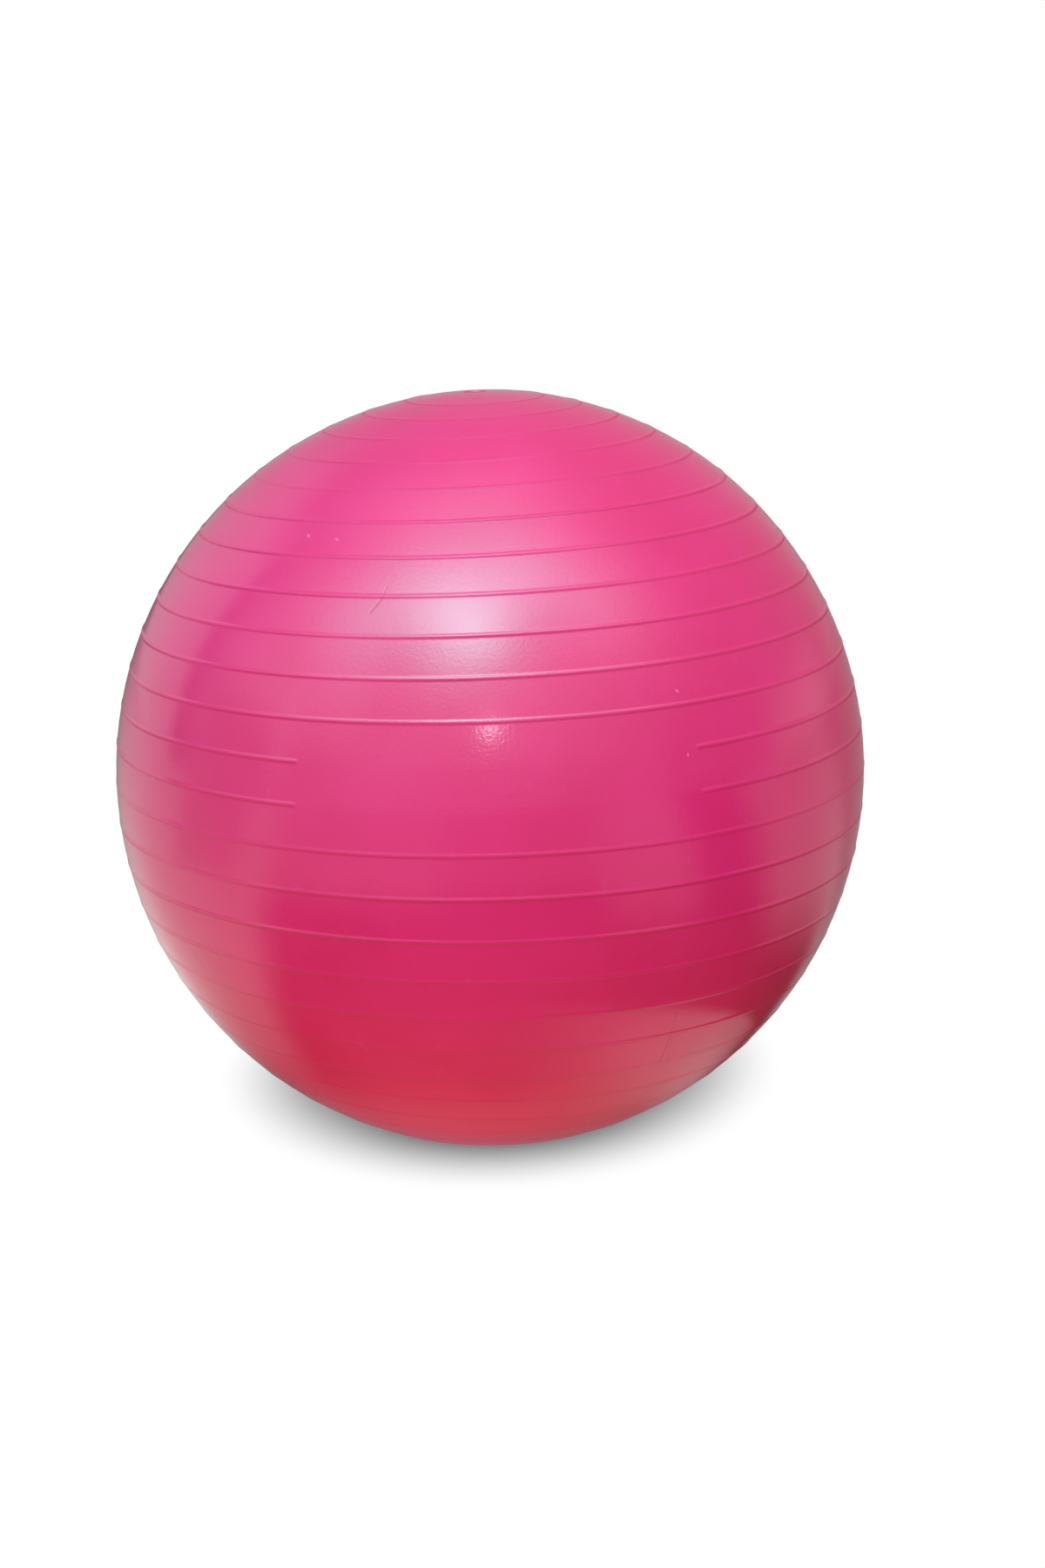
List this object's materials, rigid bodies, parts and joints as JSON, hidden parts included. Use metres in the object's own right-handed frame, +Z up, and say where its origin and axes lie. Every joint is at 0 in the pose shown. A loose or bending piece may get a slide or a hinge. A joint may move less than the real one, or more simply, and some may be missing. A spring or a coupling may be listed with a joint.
{
  "type": "exercise ball",
  "caption": "Inflatable exercise ball with a thin ringed skin, a smooth blank label panel and a valve at one pole closed by a push-in plug.",
  "frame": {"origin": "centre of the flat at the ball's lower pole, where it rests on the floor", "axes": "+Z up along the axis of the rings and of the valve, -Y out through the middle of the blank label panel, +X to the right of a viewer facing the panel"},
  "size_m": [0.6518, 0.6518, 0.6485],
  "materials": {
    "skin_pvc": "satin",
    "seat_pvc": "satin",
    "plug_plastic": "satin"
  },
  "bodies": {
    "ball": {"ball_shell": "skin_pvc", "valve_seat": "seat_pvc"},
    "plug": {"air_plug": "plug_plastic"}
  },
  "joints": [
    {"name": "plug_pull", "type": "slide", "parent": "ball", "child": "plug", "axis": [0, 0, 1], "range_m": [0, 0.03]}
  ]
}
